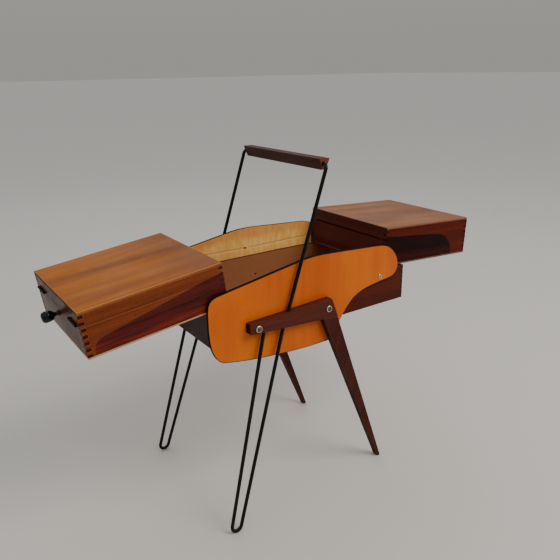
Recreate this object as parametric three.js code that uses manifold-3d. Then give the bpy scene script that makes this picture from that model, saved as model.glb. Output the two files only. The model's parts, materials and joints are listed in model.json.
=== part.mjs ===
// A sewing box: a fixed lower box between two shaped side panels, and two lidded trays that slide
// out of it to the left and to the right. It stands on two wooden legs and two bent steel rods,
// and the rods run on upwards to carry the grip.
//
// Millimetres. +X runs along the box to the right-hand tray, +Y to the back, +Z up from the floor.
// Both trays are pulled out: each has tipped over the end wall of the lower box by its own weight.
import * as THREE from 'three';
import { mergeVertices } from 'three/addons/utils/BufferGeometryUtils.js';
import Module from 'manifold-3d';

const wasm = await Module();
wasm.setup();

// ---------------------------------------------------------------- driving dimensions

// Clearances
const faceGap = 0.3; // between two pieces that are glued, screwed or resting face to face
const fingerGap = 0.3; // between the fingers of a box joint
const boreGap = 0.3; // radial, between a rod, pin or bolt and its hole
const runGap = 0.5; // between a tray and the box edges that it slides over
const trayPlay = 1.9; // between a tray and each side panel

// Lower box
const boxLeft = -77;
const boxLength = 461;
const boxWidth = 252;
const boxUnderside = 367.7; // above the floor
const boxHeight = 77.9;
const boxWall = 8;
const boxBoard = 4; // thickness of its bottom board

// Finger joints
const fingerPitch = 11.3; // one finger and one gap
const trayFingerStart = 2.3; // lower edge of an end wall's first finger, above the tray's underside
const boxFingerStart = 2.8; // the same, above the underside of the lower box

// Side panels
const panelThickness = 6.2;
const panelLeftOverhang = 15; // past the left end of the lower box
const panelRightInset = 23; // short of its right end
const panelCrestRise = 63; // its highest point, above the top of the lower box
const panelShoulderRise = 30.9; // top edge at its left corner, above the same
const panelTipRise = 53.9; // top edge at its right corner, above the same
const panelTongueDrop = 23.1; // lower edge of the tongue at the right, below the same
const panelHemDrop = 42.3; // its lowest point, below the underside of the lower box
const panelHeelDrop = 20.7; // lower left corner, below the same

// Trays
const trayLength = 253.8;
const trayHeight = 82.1; // with the lid shut
const trayWall = 8;
const trayBoard = 3; // bottom board, its edge showing all round
const lidHeight = 26.4; // rim and top together
const lidBoard = 4;
const lidGap = 0.7; // the line between the rim and the walls below it
const meetFromLeft = 227; // where the shut trays meet, from the left end of the lower box
const meetGap = 1.5;

// Guide pins and the slots that they run in
const pinDiameter = 3.2;
const pinInset = 4.5; // from a tray's inner end face
const pinFinger = 1; // the pin is in this finger of the end wall, counted from 0 at the bottom
const pinInWall = 14;
const pinInSlot = 3.2;
const slotDepth = 3.8;
const slotGap = 0.6;
const leftPinReach = 24.4; // pin to the end of the lower box, tray pulled out
const rightPinReach = 50.3;
const leftPinRise = 4.1; // how far the slot climbs to its outer end
const rightPinRise = 1.5;
const leftDroop = THREE.MathUtils.degToRad(6.95);
const rightDroop = THREE.MathUtils.degToRad(3.43);

// Finger groove at the inner end of each tray, on the lid line
const grooveHeight = 1.6; // into the rim, and the same into the wall
const grooveDepth = 5;
const grooveMargin = 20; // left solid at each corner

// Lid hinges
const hingeLength = 40;
const hingeFromCentre = 90;
const leafThickness = 1;
const barrelRadius = 2.1;
const barrelOut = 2; // axis outside the end face
const hingePinRadius = 0.8;
const hingeBoreRadius = 1.2;
const knuckleGap = 0.4;
const leafFromAxis = 0.15;

// Knobs
const knobBelowTop = 42;
const knobLength = 30;
const knobRadius = 10;
const knobNeckRadius = 4;
const knobNeckLength = 7;
const knobWidestAt = 0.66; // share of its length
const studRadius = 2.5;

// Stand: side bars and wooden legs
const barThickness = 14.5;
const barLeft = 59.5; // its left end, from the left end of the lower box
const barLeftRise = 25.6; // underside at its left end, above the underside of the lower box
const barLeftHeight = 19.9;
const kneeX = 247; // upper corner over the leg, from the left end of the lower box
const kneeRise = 52.9; // the same corner, above the underside of the lower box
const kneeLean = 0.38; // how far the outer edge beside the bar leans out, for each unit down
const barFall = 0.068; // how far the bar's underside falls towards the leg, for each unit along
const legTopWidth = 36.1;
const legKinkX = 25.8; // slight bend of the outer edge, beyond the leg's upper outer corner
const legKinkZ = 308;
const legFootX = 134; // outer edge at the floor, beyond the same corner
const legFootWidth = 8.6;

// Steel rods and grip
const rodRadius = 3.5;
const rodTopX = 236.5; // upper end under the grip, from the left end of the lower box
const rodTopDrop = 10; // below the top of the grip
const rodBarX = 148; // where it goes into the top of the bar
const rodBarRise = 49.3; // the same point, above the underside of the lower box
const rodUnderX = 136; // where it leaves the underside
const hairpinEndX = 93; // where the other side of the hairpin goes in
const hairpinInBar = 13;
const hairpinX = 0.5; // middle of the foot
const hairpinRadius = 10.4; // of the bend in the foot, at the middle of the rod
const hairpinSplay = 25.5; // how far the foot stands out beyond the bar's middle
const rodBend = 9; // radius under the grip
const rodEase = 60; // radius of the slight bends at the bar
const rodInGrip = 22;
const gripShort = 9.55; // from each rod's middle to the end of the grip's top face
const gripUndercut = 4.5; // each end slopes in by this much on the way down
const gripTopWidth = 22;
const gripBottomWidth = 9.5;
const gripHeight = 21;
const gripTopZ = 688;

// Fixings
const boltXs = [78, 240]; // from the left end of the lower box
const boltRise = 33; // above the underside of the lower box
const boltRadius = 2.5;
const boltHeadRadius = 4.2;
const boltHeadHeight = 2.4;
const washerRadius = 7;
const washerHeight = 2;
const screwX = 387.5; // from the left end of the lower box
const screwDrop = 14.2; // below the top of the lower box
const screwHeadRadius = 6.2;
const screwHeadHeight = 2;
const screwRadius = 1.9;
const screwInWall = 6.5;
const driverSlot = 1.3; // width of the slot in the head

// ---------------------------------------------------------------- derived sizes

const boxRight = boxLeft + boxLength;
const boxTop = boxUnderside + boxHeight;
const boxSide = boxWidth / 2;
const panelInside = boxSide + faceGap;
const panelOutside = panelInside + panelThickness;
const barInside = panelOutside + faceGap;
const barOutside = barInside + barThickness;
const barMiddle = (barInside + barOutside) / 2;
const panelCrest = boxTop + panelCrestRise;
const panelShoulder = boxTop + panelShoulderRise;
const panelTipTop = boxTop + panelTipRise;
const panelTipBottom = boxTop - panelTongueDrop;
const panelHem = boxUnderside - panelHemDrop;
const panelHeel = boxUnderside - panelHeelDrop;
const barLeftBottom = boxUnderside + barLeftRise;
const barLeftTop = barLeftBottom + barLeftHeight;
const kneeTop = boxUnderside + kneeRise;
const rodBarZ = boxUnderside + rodBarRise;
const rodTopZ = gripTopZ - rodTopDrop;
const gripTopLength = 2 * (barMiddle - gripShort);
const gripBottomLength = gripTopLength - 2 * gripUndercut;
const boltZ = boxUnderside + boltRise;
const screwZ = boxTop - screwDrop;
const meetX = boxLeft + meetFromLeft;
const traySide = panelInside - trayPlay;
const lidLine = trayHeight - lidHeight; // underside of the rim above the tray's underside
const wallTop = lidLine - lidGap;
const wallFoot = trayBoard + faceGap;
const rimTop = trayHeight - lidBoard - faceGap;
const pinHeight = trayFingerStart + fingerPitch * (pinFinger + 0.25);
const leafRecess = leafFromAxis + leafThickness + faceGap - lidGap / 2; // cut into each board
const pinShutZ = boxTop + runGap + pinHeight;

// One entry for each tray. outward is the way that it is pulled.
const sides = [
  {
    name: 'left',
    outward: -1,
    restX: boxLeft + leftPinReach,
    restZ: pinShutZ + leftPinRise,
    shutX: meetX - meetGap / 2 - pinInset,
    droop: leftDroop,
  },
  {
    name: 'right',
    outward: 1,
    restX: boxRight - rightPinReach,
    restZ: pinShutZ + rightPinRise,
    shutX: meetX + meetGap / 2 + pinInset,
    droop: rightDroop,
  },
];

// ---------------------------------------------------------------- materials

function finish(color, roughness, metalness = 0) {
  return () => new THREE.MeshStandardMaterial({ color, roughness, metalness });
}

const mahogany = finish(0x8a4524, 0.42);
const lidWood = finish(0xb06a35, 0.4);
const darkWood = finish(0x5a2a1c, 0.45);
const amberVeneer = finish(0xd98a2b, 0.38);
const paleBoard = finish(0xd8b98a, 0.6);
const blackSteel = finish(0x16171a, 0.35, 0.6);
const blackGloss = finish(0x0d0c0d, 0.12);
const nickel = finish(0xb9b6ae, 0.25, 1);
const brass = finish(0xb08d4c, 0.3, 1);
const agedBrass = finish(0x57452b, 0.4, 1);
const bareSteel = finish(0x8d8f92, 0.35, 1);

// ---------------------------------------------------------------- solids

function solid(geometry) {
  const bare = geometry.clone();
  for (const name of Object.keys(bare.attributes)) {
    if (name !== 'position') {
      bare.deleteAttribute(name);
    }
  }
  const merged = mergeVertices(bare, 1e-4);
  return new wasm.Manifold(new wasm.Mesh({
    numProp: 3,
    vertProperties: new Float32Array(merged.attributes.position.array),
    triVerts: new Uint32Array(merged.index.array),
  }));
}

function geometryOf(manifold) {
  const { vertProperties, triVerts } = manifold.getMesh();
  const geometry = new THREE.BufferGeometry();
  geometry.setAttribute('position', new THREE.BufferAttribute(new Float32Array(vertProperties), 3));
  geometry.setIndex(new THREE.BufferAttribute(new Uint32Array(triVerts), 1));
  geometry.computeVertexNormals();
  return geometry;
}

function cut(geometry, ...tools) {
  return geometryOf(tools.reduce((body, tool) => body.subtract(solid(tool)), solid(geometry)));
}

function join(geometry, ...others) {
  return geometryOf(others.reduce((body, other) => body.add(solid(other)), solid(geometry)));
}

function common(first, second) {
  return geometryOf(solid(first).intersect(solid(second)));
}

// A plate drawn in X and Z and centred on Y = 0.
function plateXZ(shape, thickness, curveSegments = 8) {
  const geometry = new THREE.ExtrudeGeometry(shape, {
    depth: thickness,
    bevelEnabled: false,
    curveSegments,
  });
  geometry.translate(0, 0, -thickness / 2);
  return geometry.rotateX(Math.PI / 2);
}

// A plate drawn in Y and Z and centred on X = 0.
function plateYZ(shape, thickness, curveSegments = 8) {
  const geometry = new THREE.ExtrudeGeometry(shape, {
    depth: thickness,
    bevelEnabled: false,
    curveSegments,
  });
  geometry.translate(0, 0, -thickness / 2);
  const axes = new THREE.Matrix4().makeBasis(
    new THREE.Vector3(0, 1, 0),
    new THREE.Vector3(0, 0, 1),
    new THREE.Vector3(1, 0, 0),
  );
  return geometry.applyMatrix4(axes);
}

function block(x0, x1, y0, y1, z0, z1) {
  const geometry = new THREE.BoxGeometry(x1 - x0, y1 - y0, z1 - z0);
  return geometry.translate((x0 + x1) / 2, (y0 + y1) / 2, (z0 + z1) / 2);
}

// A cylinder along Y, from y0 to y1.
function barY(radius, x, z, y0, y1, segments = 14) {
  const geometry = new THREE.CylinderGeometry(radius, radius, y1 - y0, segments);
  return geometry.translate(x, (y0 + y1) / 2, z);
}

function polygon(points) {
  return new THREE.Shape(points.map(([x, y]) => new THREE.Vector2(x, y)));
}

function roundHole(x, y, radius) {
  const hole = new THREE.Path();
  hole.absarc(x, y, radius, 0, Math.PI * 2, false);
  return hole;
}

function mesh(name, geometry, material) {
  const made = new THREE.Mesh(geometry, material());
  made.name = name;
  return made;
}

// ---------------------------------------------------------------- box joints

// The heights where a box joint changes over from one board's finger to the other's, from z0 to z1.
// A finger of the end wall starts at start, and again every pitch above it.
function fingers(z0, z1, start) {
  const least = 1.2;
  const cuts = [z0];
  const first = Math.floor((z0 - start) / (fingerPitch / 2));
  for (let k = first; start + k * fingerPitch / 2 < z1 - least; k += 1) {
    const z = start + k * fingerPitch / 2;
    if (z > z0 + least) {
      cuts.push(z);
    }
  }
  cuts.push(z1);
  return cuts.slice(1).map((top, i) => {
    const middle = (cuts[i] + top) / 2;
    const phase = (((middle - start) % fingerPitch) + fingerPitch) % fingerPitch;
    return { bottom: cuts[i], top, endWall: phase < fingerPitch / 2 };
  });
}

// The upright edge of one board of the joint, from the bottom up, as [distance back, height].
function fingerEdge(z0, z1, start, isEndWall, back) {
  const teeth = fingers(z0, z1, start);
  const edge = [];
  teeth.forEach((tooth, i) => {
    const own = tooth.endWall === isEndWall;
    const trim = own ? fingerGap / 2 : -fingerGap / 2;
    const bottom = i === 0 ? tooth.bottom : tooth.bottom + trim;
    const top = i === teeth.length - 1 ? tooth.top : tooth.top - trim;
    edge.push([own ? 0 : back, bottom], [own ? 0 : back, top]);
  });
  return edge;
}

// A board with fingers at both ends. It reaches from -half to half. crown adds points to its top
// edge, from right to left.
function fingerBoard(half, z0, z1, start, isEndWall, wall, crown = []) {
  const edge = fingerEdge(z0, z1, start, isEndWall, wall + fingerGap);
  const right = edge.map(([back, z]) => [half - back, z]);
  const left = edge.map(([back, z]) => [back - half, z]).reverse();
  return polygon([...right, ...crown, ...left]);
}

// ---------------------------------------------------------------- lower box

// A tray tips gradually as it slides out. This is the height of its underside at x, for a tray
// that has gone the fraction `out` of its way.
function trayUndersideAt(side, x, out) {
  const pinX = THREE.MathUtils.lerp(side.shutX, side.restX, out);
  const pinZ = THREE.MathUtils.lerp(pinShutZ, side.restZ, out);
  const tilt = side.droop * out;
  return pinZ - pinHeight / Math.cos(tilt) - (x - pinX) * side.outward * Math.tan(tilt);
}

// The top of the lower box is eased down towards its ends, as low as the trays dip there.
function railHeight(x) {
  let height = boxTop;
  for (const side of sides) {
    if ((x - meetX) * side.outward <= 0) {
      continue;
    }
    for (let i = 0; i <= 60; i += 1) {
      height = Math.min(height, trayUndersideAt(side, x, i / 60) - runGap);
    }
  }
  return height;
}

function lowerBox() {
  const group = new THREE.Group();
  const middleX = (boxLeft + boxRight) / 2;
  const half = boxLength / 2;
  const leftTop = railHeight(boxLeft);
  const rightTop = railHeight(boxRight);
  const crown = [];
  const steps = 12;
  for (let i = steps - 1; i >= 1; i -= 1) {
    const x = boxLeft + (i / steps) * boxLength;
    crown.push([x - middleX, railHeight(x)]);
  }

  // The two ends of a long wall differ in height, so its edges are made one by one.
  const back = boxWall + fingerGap;
  const start = boxUnderside + boxFingerStart;
  const rightEdge = fingerEdge(boxUnderside, rightTop, start, false, back)
    .map(([inset, z]) => [half - inset, z]);
  const leftEdge = fingerEdge(boxUnderside, leftTop, start, false, back)
    .map(([inset, z]) => [inset - half, z])
    .reverse();
  for (const [name, y] of [['front', -1], ['rear', 1]]) {
    const shape = polygon([...rightEdge, ...crown, ...leftEdge]);
    for (const x of boltXs) {
      shape.holes.push(roundHole(boxLeft + x - middleX, boltZ, boltRadius + boreGap));
    }
    shape.holes.push(roundHole(boxLeft + screwX - middleX, screwZ, screwRadius + boreGap));
    const wall = mesh(`lower_box_${name}_wall`, plateXZ(shape, boxWall, 4), mahogany);
    wall.position.set(middleX, y * (boxSide - boxWall / 2), 0);
    group.add(wall);
  }

  for (const [name, x, top] of [
    ['left', boxLeft + boxWall / 2, leftTop],
    ['right', boxRight - boxWall / 2, rightTop],
  ]) {
    const shape = fingerBoard(boxSide, boxUnderside, top, start, true, boxWall);
    const wall = mesh(`lower_box_${name}_wall`, plateYZ(shape, boxWall), mahogany);
    wall.position.set(x, 0, 0);
    group.add(wall);
  }

  const inset = boxWall + faceGap;
  const board = block(
    boxLeft + inset, boxRight - inset,
    inset - boxSide, boxSide - inset,
    boxUnderside, boxUnderside + boxBoard,
  );
  group.add(mesh('lower_box_bottom', board, paleBoard));
  return group;
}

// ---------------------------------------------------------------- side panels

// A rounded slot from (x0, z0) to (x1, z1), reaching half its height past both points.
function slotShape(x0, z0, x1, z1, halfHeight) {
  const angle = Math.atan2(z1 - z0, x1 - x0);
  const shape = new THREE.Shape();
  shape.absarc(x1, z1, halfHeight, angle - Math.PI / 2, angle + Math.PI / 2, false);
  shape.absarc(x0, z0, halfHeight, angle + Math.PI / 2, angle + Math.PI * 1.5, false);
  return shape;
}

function panelShape() {
  const left = boxLeft - panelLeftOverhang;
  const right = boxRight - panelRightInset;
  const crestX = meetX - 6;
  const shape = new THREE.Shape();
  shape.moveTo(left, panelShoulder - 28);
  shape.bezierCurveTo(
    left, panelShoulder - 9,
    left + 7, panelShoulder - 2,
    left + 24, panelShoulder,
  );
  shape.lineTo(crestX - 37, panelCrest - 3);
  shape.quadraticCurveTo(crestX - 8, panelCrest + 1.6, crestX + 28, panelCrest - 0.6);
  shape.lineTo(right - 63, panelTipTop + 1);
  shape.bezierCurveTo(
    right - 28, panelTipTop - 1,
    right - 20, panelTipTop - 11,
    right - 8, panelTipTop - 27,
  );
  shape.bezierCurveTo(
    right + 4, panelTipTop - 46,
    right + 2, panelTipBottom + 4,
    right - 24, panelTipBottom + 1.5,
  );
  // Under the tongue the edge sweeps down to the toe behind the leg.
  shape.splineThru([
    new THREE.Vector2(right - 56, panelTipBottom - 2),
    new THREE.Vector2(right - 96, panelTipBottom - 9),
    new THREE.Vector2(right - 126, panelTipBottom - 23),
    new THREE.Vector2(right - 142, panelTipBottom - 40),
    new THREE.Vector2(right - 158.5, panelTipBottom - 62),
  ]);
  shape.bezierCurveTo(
    right - 168, panelTipBottom - 76,
    right - 169, panelHem + 3,
    right - 189, panelHem,
  );
  shape.quadraticCurveTo(right - 245, panelHem - 1.5, right - 315, panelHem + 5);
  shape.quadraticCurveTo(left + 72, panelHem + 10.5, left + 26, panelHeel);
  shape.bezierCurveTo(
    left + 8, panelHeel + 6,
    left, panelHeel + 36,
    left, panelHeel + 66,
  );
  return shape;
}

function sidePanels() {
  const group = new THREE.Group();
  for (const [name, y] of [['front', -1], ['rear', 1]]) {
    const shape = panelShape();
    for (const x of boltXs) {
      shape.holes.push(roundHole(boxLeft + x, boltZ, boltRadius + boreGap));
    }
    shape.holes.push(roundHole(boxLeft + screwX, screwZ, screwRadius + boreGap));
    const slots = sides.map((side) => {
      const tool = slotShape(
        Math.min(side.shutX, side.restX),
        side.outward < 0 ? side.restZ : pinShutZ,
        Math.max(side.shutX, side.restX),
        side.outward < 0 ? pinShutZ : side.restZ,
        pinDiameter / 2 + slotGap,
      );
      const past = 2;
      const geometry = plateXZ(tool, slotDepth + past, 5);
      const face = y * (panelInside - past + (slotDepth + past) / 2);
      return geometry.translate(0, face - y * (panelInside + panelThickness / 2), 0);
    });
    const panel = mesh(`${name}_panel`, cut(plateXZ(shape, panelThickness, 7), ...slots), amberVeneer);
    panel.position.y = y * (panelInside + panelThickness / 2);
    group.add(panel);
  }
  return group;
}

// ---------------------------------------------------------------- steel rods

// A path through its own points, so that a sweep has a ring just where the path needs one.
class PointPath extends THREE.Curve {
  constructor(points) {
    super();
    this.points = points;
  }

  getPoint(t, target = new THREE.Vector3()) {
    const last = this.points.length - 1;
    const place = THREE.MathUtils.clamp(t, 0, 1) * last;
    const i = Math.min(Math.floor(place), last - 1);
    return target.lerpVectors(this.points[i], this.points[i + 1], place - i);
  }

  getUtoTmapping(u) {
    return u;
  }
}

// Rounds each inner corner of a run of points to an arc of the radius given with it.
function roundedRun(corners) {
  const points = [corners[0].at.clone()];
  for (let i = 1; i < corners.length - 1; i += 1) {
    const { at, radius } = corners[i];
    const before = corners[i - 1].at.clone().sub(at).normalize();
    const after = corners[i + 1].at.clone().sub(at).normalize();
    const angle = before.angleTo(after);
    const setback = radius / Math.tan(angle / 2);
    const centre = before.clone().add(after).normalize()
      .multiplyScalar(radius / Math.sin(angle / 2)).add(at);
    const from = at.clone().addScaledVector(before, setback).sub(centre);
    const turn = Math.PI - angle;
    const normal = new THREE.Vector3().crossVectors(after, before).normalize();
    const steps = Math.max(2, Math.ceil(turn / 0.3));
    for (let k = 0; k <= steps; k += 1) {
      points.push(from.clone().applyAxisAngle(normal, turn * k / steps).add(centre));
    }
  }
  points.push(corners[corners.length - 1].at.clone());
  return points;
}

function barUndersideAt(x) {
  return barLeftBottom - barFall * (x - boxLeft - barLeft);
}

// The front rod from inside the grip, down through the bar, round its foot and back into the bar.
// extra lengthens both ends.
function rodPath(extra) {
  const y = -barMiddle;
  const under = boxLeft + rodUnderX;
  const end = boxLeft + hairpinEndX;
  const endZ = barUndersideAt(end);
  const foot = boxLeft + hairpinX;
  const footZ = rodRadius;
  const footY = y - hairpinSplay;
  const lean = (end - foot) / (endZ - footZ);
  const inBar = endZ + hairpinInBar + extra;
  const inGrip = rodInGrip - gripTopLength / 2 + extra;
  return roundedRun([
    { at: new THREE.Vector3(boxLeft + rodTopX, inGrip, rodTopZ) },
    { at: new THREE.Vector3(boxLeft + rodTopX, y, rodTopZ), radius: rodBend },
    { at: new THREE.Vector3(boxLeft + rodBarX, y, rodBarZ), radius: rodEase },
    { at: new THREE.Vector3(under, y, barUndersideAt(under)), radius: rodEase },
    { at: new THREE.Vector3(foot + hairpinRadius, footY, footZ), radius: hairpinRadius },
    { at: new THREE.Vector3(foot - hairpinRadius, footY, footZ), radius: hairpinRadius },
    { at: new THREE.Vector3(end, y, endZ), radius: rodEase },
    { at: new THREE.Vector3(end + lean * (inBar - endZ), y, inBar) },
  ]);
}

function sweptRod(radius, extra, segments) {
  const points = rodPath(extra);
  const section = new THREE.Shape();
  section.absarc(0, 0, radius, 0, Math.PI * 2, false);
  return new THREE.ExtrudeGeometry(section, {
    steps: points.length - 1,
    extrudePath: new PointPath(points),
    curveSegments: segments,
    bevelEnabled: false,
  });
}

function mirrorY(geometry) {
  const turned = geometry.clone().applyMatrix4(new THREE.Matrix4().makeScale(1, -1, 1));
  const index = turned.index;
  if (index) {
    for (let i = 0; i < index.count; i += 3) {
      const second = index.getX(i + 1);
      index.setX(i + 1, index.getX(i + 2));
      index.setX(i + 2, second);
    }
    return turned;
  }
  const { array } = turned.attributes.position;
  for (let i = 0; i < array.length; i += 9) {
    for (let k = 0; k < 3; k += 1) {
      const second = array[i + 3 + k];
      array[i + 3 + k] = array[i + 6 + k];
      array[i + 6 + k] = second;
    }
  }
  return turned;
}

// ---------------------------------------------------------------- stand

const legTopX = boxLeft + kneeX;
const legOuterX = legTopX
  + (kneeTop - barUndersideAt(legTopX)) * kneeLean / (1 - barFall * kneeLean);

function barShape() {
  const left = boxLeft + barLeft;
  const nose = 2.5;
  const shape = new THREE.Shape();
  shape.moveTo(left + nose, barUndersideAt(left + nose));
  shape.lineTo(legOuterX, barUndersideAt(legOuterX));
  shape.lineTo(legTopX + 1, kneeTop - 2.6);
  shape.quadraticCurveTo(legTopX, kneeTop, legTopX - 2.6, kneeTop - 0.1);
  shape.lineTo(left + nose, barLeftTop);
  shape.quadraticCurveTo(left, barLeftTop, left, barLeftTop - nose);
  shape.lineTo(left, barLeftBottom + nose);
  shape.quadraticCurveTo(left, barLeftBottom, left + nose, barUndersideAt(left + nose));
  return shape;
}

function legShape() {
  const innerX = legOuterX - legTopWidth;
  const footOuter = legOuterX + legFootX;
  const footInner = footOuter - legFootWidth;
  const round = 1.5;
  return polygon([
    [innerX, barUndersideAt(innerX) - faceGap],
    [footInner, round],
    [footInner + round, 0],
    [footOuter - round, 0],
    [footOuter, round],
    [legOuterX + legKinkX, legKinkZ],
    [legOuterX, barUndersideAt(legOuterX) - faceGap],
  ]);
}

function stand() {
  const group = new THREE.Group();
  const rod = sweptRod(rodRadius, 0, 6);
  const bore = sweptRod(rodRadius + boreGap, 0.5, 6);
  for (const [name, y] of [['front', -1], ['rear', 1]]) {
    const rodHere = y < 0 ? rod : mirrorY(rod);
    group.add(mesh(`${name}_rod`, rodHere, blackSteel));

    const shape = barShape();
    for (const x of boltXs) {
      shape.holes.push(roundHole(boxLeft + x, boltZ, boltRadius + boreGap));
    }
    const boreHere = (y < 0 ? bore : mirrorY(bore)).clone().translate(0, -y * barMiddle, 0);
    const bar = mesh(`${name}_bar`, cut(plateXZ(shape, barThickness, 5), boreHere), darkWood);
    bar.position.y = y * barMiddle;
    group.add(bar);

    const leg = mesh(`${name}_leg`, plateXZ(legShape(), barThickness), darkWood);
    leg.position.y = y * barMiddle;
    group.add(leg);
  }
  return group;
}

function grip() {
  const middle = boxLeft + rodTopX + 3;
  const top = gripTopWidth / 2;
  const bottom = gripBottomWidth / 2;
  const ease = 2.4;
  const section = new THREE.Shape();
  section.moveTo(-bottom, -gripHeight);
  section.lineTo(bottom, -gripHeight);
  section.lineTo(top, -ease);
  section.quadraticCurveTo(top, 0, top - ease, 0);
  section.lineTo(ease - top, 0);
  section.quadraticCurveTo(-top, 0, -top, -ease);
  const bar = plateXZ(section, gripTopLength + 10, 3);
  const elevation = polygon([
    [-gripBottomLength / 2, -gripHeight - 1],
    [gripBottomLength / 2, -gripHeight - 1],
    [gripTopLength / 2, 1],
    [-gripTopLength / 2, 1],
  ]);
  const trimmed = common(bar, plateYZ(elevation, gripTopWidth + 10));
  const bore = sweptRod(rodRadius + boreGap, 0.5, 6).translate(-middle, 0, -gripTopZ);
  const made = mesh('grip', cut(trimmed, bore, mirrorY(bore)), darkWood);
  made.position.set(middle, 0, gripTopZ);
  return made;
}

// ---------------------------------------------------------------- fixings

// A turned piece, its profile given as [radius, distance out], axis along -Y.
function turned(profile, segments) {
  const points = profile.map(([radius, out]) => new THREE.Vector2(radius, out));
  return new THREE.LatheGeometry(points, segments).rotateX(Math.PI);
}

function driverCut(radius, headTop) {
  const depth = 1;
  return block(-radius - 1, radius + 1, -headTop - 1, depth - headTop, -driverSlot / 2, driverSlot / 2);
}

// Fixings are built for the front, with +Y into the wood, and turned round for the rear.
function fixings() {
  const group = new THREE.Group();
  const reach = barOutside - boxSide + boxWall; // from the bar's face to the inside of the box
  const shank = boltRadius;
  const seat = washerHeight * 0.4;
  const bolt = cut(turned([
    [0, -reach],
    [shank, -reach],
    [shank, seat],
    [boltHeadRadius, seat],
    [boltHeadRadius, seat + boltHeadHeight * 0.6],
    [boltHeadRadius * 0.7, seat + boltHeadHeight],
    [0, seat + boltHeadHeight],
  ], 16), driverCut(boltHeadRadius, seat + boltHeadHeight));
  const washer = turned([
    [shank + boreGap, faceGap],
    [washerRadius, faceGap],
    [washerRadius, faceGap + washerHeight * 0.35],
    [washerRadius - 1.4, faceGap + washerHeight],
    [boltHeadRadius + faceGap, faceGap + washerHeight],
    [boltHeadRadius + faceGap, seat - faceGap],
    [shank + boreGap, seat - faceGap],
    [shank + boreGap, faceGap],
  ], 20);
  const depth = panelThickness + faceGap + screwInWall;
  const screw = cut(turned([
    [0, -depth],
    [screwRadius, 2 - depth],
    [screwRadius, faceGap],
    [screwHeadRadius, faceGap],
    [screwHeadRadius, faceGap + screwHeadHeight * 0.3],
    [screwHeadRadius * 0.6, faceGap + screwHeadHeight * 0.85],
    [0, faceGap + screwHeadHeight],
  ], 18), driverCut(screwHeadRadius, faceGap + screwHeadHeight));

  for (const [name, y] of [['front', -1], ['rear', 1]]) {
    const face = new THREE.Group();
    face.position.y = y * barOutside;
    boltXs.forEach((x, i) => {
      const place = i === 0 ? 'left' : 'right';
      for (const [kind, geometry, material] of [['bolt', bolt, nickel], ['washer', washer, nickel]]) {
        const made = mesh(`${name}_${place}_${kind}`, geometry.clone(), material);
        made.position.set(boxLeft + x, 0, boltZ);
        made.rotation.z = y > 0 ? Math.PI : 0;
        face.add(made);
      }
    });
    group.add(face);

    const made = mesh(`${name}_panel_screw`, screw.clone(), brass);
    made.position.set(boxLeft + screwX, y * panelOutside, screwZ);
    made.rotation.z = y > 0 ? Math.PI : 0;
    made.rotation.y = 0.6;
    group.add(made);
  }
  return group;
}

// ---------------------------------------------------------------- tray hinges

// One leaf of a butt hinge. Its axis is Y at the origin, and its plate lies towards -X, below the
// axis plane for the leaf on the wall (which = -1) and above it for the leaf on the lid (which = 1).
function hingeLeaf(which) {
  const third = hingeLength / 3;
  const plateEnd = faceGap - barrelOut - trayWall; // inside edge of the plate
  const z0 = which < 0 ? -leafFromAxis - leafThickness : leafFromAxis;
  const z1 = z0 + leafThickness;
  const plateFront = -hingeBoreRadius - 0.1;
  const cleared = -barrelRadius - 0.5;
  const plate = block(plateEnd, cleared, -hingeLength / 2, hingeLength / 2, z0, z1);
  const spans = which < 0
    ? [[-hingeLength / 2, -third / 2 - knuckleGap], [third / 2 + knuckleGap, hingeLength / 2]]
    : [[-third / 2, third / 2]];
  const pieces = [];
  for (const [y0, y1] of spans) {
    pieces.push(block(cleared - 0.5, plateFront, y0, y1, z0, z1));
    pieces.push(barY(barrelRadius, 0, 0, y0, y1, 14));
  }
  const leaf = join(plate, ...pieces);
  if (which < 0) {
    return cut(leaf, barY(hingeBoreRadius, 0, 0, -hingeLength, hingeLength, 12));
  }
  return join(leaf, barY(hingePinRadius, 0, 0, -hingeLength / 2 + 1, hingeLength / 2 - 1, 10));
}

// ---------------------------------------------------------------- trays

// Cuts both recesses of the hinges in a board's edge: down from `edge`, or up when depth is negative.
function hingeRecesses(edge, depth) {
  return [-1, 1].map((y) => {
    const middle = y * hingeFromCentre;
    const half = hingeLength / 2 + faceGap;
    const past = depth > 0 ? 1 : -1;
    const z0 = Math.min(edge + past, edge - depth);
    const z1 = Math.max(edge + past, edge - depth);
    return block(-trayWall, trayWall, middle - half, middle + half, z0, z1);
  });
}

// The groove for the fingertips, across the inner face of an end board at x = -trayWall / 2.
function fingerGroove(z0, z1) {
  const half = traySide - grooveMargin;
  return block(-trayWall / 2 - 1, grooveDepth - trayWall / 2, -half, half, z0, z1);
}

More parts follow.
